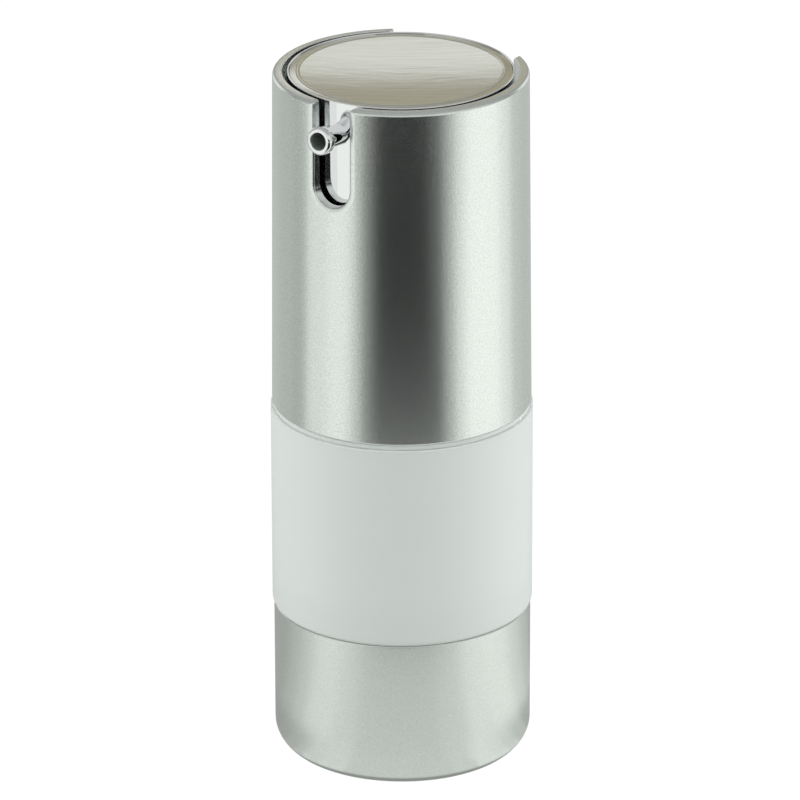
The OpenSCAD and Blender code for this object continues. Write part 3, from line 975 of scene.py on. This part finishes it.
# %% Lay the cards around the bottle
PALE_GREEN = "#FBFEFA"
CARD_LIFT = mm(0.5)
FOOT = (mm(13), mm(17.3))
HEEL = (mm(17.3), mm(27))
NEAR = (mm(14), mm(104))
FAR = (mm(104), 1.2)
DUSK = (mm(104), mm(170))
DUSK_BEARINGS = (-24, 24)
DUSK_GREY = 0.06

foot_greys = ((-180, 0.3), (0, 0.3))
heel_greys = ((-180, 0.36), (-92, 0.4), (-78, 0.46), (-66, 0.56), (-58, 0.7), (-46, 0.75),
              (-30, 0.66), (26, 0.7), (40, 0.84), (54, 0.8), (64, 0.7), (76, 0.56),
              (92, 0.42), (120, 0.36))
near_greys = ((-180, 0.38), (-140, 0.4), (-104, 0.5), (-88, 0.62), (-74, 0.8), (-48, 0.7),
              (-32, 0.62), (26, 0.68), (46, 0.84), (66, 0.9), (94, 0.72), (112, 0.55),
              (130, 0.4), (150, 0.36))
far_greys = ((-180, 0.56), (-134, 0.52), (-108, 0.46), (-90, 0.84), (-66, 0.96), (-44, 0.62),
             (-34, 0.2), (-24, 0.005), (24, 0.07), (36, 0.42), (46, 0.84), (56, 1.08),
             (94, 0.9), (110, 0.62), (128, 0.56))


def ring_of_cards(name, greys, near, far, lift=CARD_LIFT):
    """Cards side by side all round: each runs from its own bearing to the next one's."""
    ends = [start for start, _ in greys[1:]] + [180]
    for (start, grey), end in zip(greys, ends):
        card(f"{name}_{start % 360}", (start, end), near, far, grey, lift, lift, PALE_GREEN)
    print(name + "s:", len(greys))


ring_of_cards("near_card", near_greys, *NEAR)
ring_of_cards("far_card", far_greys, *FAR)
ring_of_cards("heel_card", heel_greys, *HEEL, lift=CARD_LIFT * 1.2)
ring_of_cards("foot_card", foot_greys, *FOOT, lift=CARD_LIFT * 1.5)
card("dusk_card", DUSK_BEARINGS, *DUSK, DUSK_GREY, CARD_LIFT * 2, CARD_LIFT * 2, WHITE)

# %% [markdown]
# The flat top of the button mirrors what stands low behind the bottle: a wide tan screen, a
# darker tan band across it, and a white screen above the band, which reaches further to the
# left. The dish of the disc spreads them over its length, where a flat disc would mirror
# one narrow strip. White screens further round on both sides light the lip and the rim, and
# a black one behind the camera keeps the middle of the sleeve dark.

# %% Stand the upright screens
SCREEN_DISTANCE = 1.5
SCREEN_SPACING = mm(5)
TAN = "#FFF7DF"


def climb(elevation):
    return mm(100) + SCREEN_DISTANCE * math.tan(math.radians(elevation))


def screen(name, bearings, grey, low, high, tint, layer=0):
    """Card that stands upright between two elevations, seen from the button."""
    reach = SCREEN_DISTANCE - layer * SCREEN_SPACING
    card(name, bearings, reach, reach, grey, climb(low), climb(high), tint)


screen("tan_screen", (170, 190), 0.49, 8, 30, TAN)
screen("tan_band", (173, 187), 0.36, 16.2, 18.8, TAN, layer=1)
screen("white_screen", (178.5, 188), 1.02, 18.8, 26, WHITE, layer=1)
screen("left_white", (206, 234), 0.9, -2, 24, WHITE)
screen("right_white", (126, 154), 0.9, -2, 24, WHITE)
screen("front_black", (-24, 26), 0.005, -3, 11, WHITE)
print("screens stand", SCREEN_DISTANCE, "m away")

# %% [markdown]
# Two large soft boxes, one on each side, light the frosted jacket. They are kept out of the
# metal's reflections, because they would draw a white streak along the rim that the
# photograph doesn't show.

# %% Hang the soft boxes
BOTTLE_MIDDLE = Vector((0, 0, mm(50)))
BOX_DISTANCE = 1.5
BOX_ELEVATION = math.radians(34)
BOX_WIDTH = 2.2
BOX_HEIGHT = 1.6


def softbox(name, bearing, power):
    """Rectangular area light that looks at the bottle; bearing is from the camera."""
    angle = PHOTO_BEARING + math.radians(bearing)
    towards = Vector((math.sin(angle) * math.cos(BOX_ELEVATION),
                      -math.cos(angle) * math.cos(BOX_ELEVATION), math.sin(BOX_ELEVATION)))
    light = bpy.data.lights.new(name, "AREA")
    light.shape = "RECTANGLE"
    light.size = BOX_WIDTH
    light.size_y = BOX_HEIGHT
    light.energy = power
    lamp = bpy.data.objects.new(name, light)
    lamp.location = towards * BOX_DISTANCE + BOTTLE_MIDDLE
    lamp.rotation_euler = (-towards).to_track_quat("-Z", "Y").to_euler()
    lamp.visible_glossy = False
    bpy.context.scene.collection.objects.link(lamp)


softbox("left_softbox", -80, 19.4)
softbox("right_softbox", 80, 20.2)
print("soft boxes:", len(bpy.data.lights))

# %% [markdown]
# The rest of the light comes from a pale dome. It is brightest low down on the camera's
# side, dimmer low down behind the bottle and even overhead, so the metal's edges that look
# up stay grey instead of white.

# %% Raise the dome
DOME_TINT = "#FAFBFA"
GLOW_BEHIND = 0.38
GLOW_IN_FRONT = 0.8
GLOW_OVERHEAD = 0.45

world = bpy.data.worlds.new("pale_dome")
bpy.context.scene.world = world
world.use_nodes = True
heading = add_node(world, "ShaderNodeTexCoord").outputs["Generated"]
towards_camera = add_node(world, "ShaderNodeVectorMath", {0: heading, 1: -ahead},
                          operation="DOT_PRODUCT")
low_glow = add_node(world, "ShaderNodeMapRange", {
    "Value": towards_camera.outputs["Value"], "From Min": -0.2, "From Max": 0.4,
    "To Min": GLOW_BEHIND, "To Max": GLOW_IN_FRONT})
height = add_node(world, "ShaderNodeSeparateXYZ", {"Vector": heading}).outputs["Z"]
glow = add_node(world, "ShaderNodeMapRange", {
    "Value": height, "From Min": 0.55, "From Max": 0.8,
    "To Min": low_glow.outputs["Result"], "To Max": GLOW_OVERHEAD},
    interpolation_type="SMOOTHSTEP")
background = world.node_tree.nodes["Background"]
link(world, glow.outputs["Result"], background.inputs["Strength"])
background.inputs["Color"].default_value = light_of(DOME_TINT)
bpy.context.scene.view_settings.view_transform = "Standard"
print("world:", world.name)
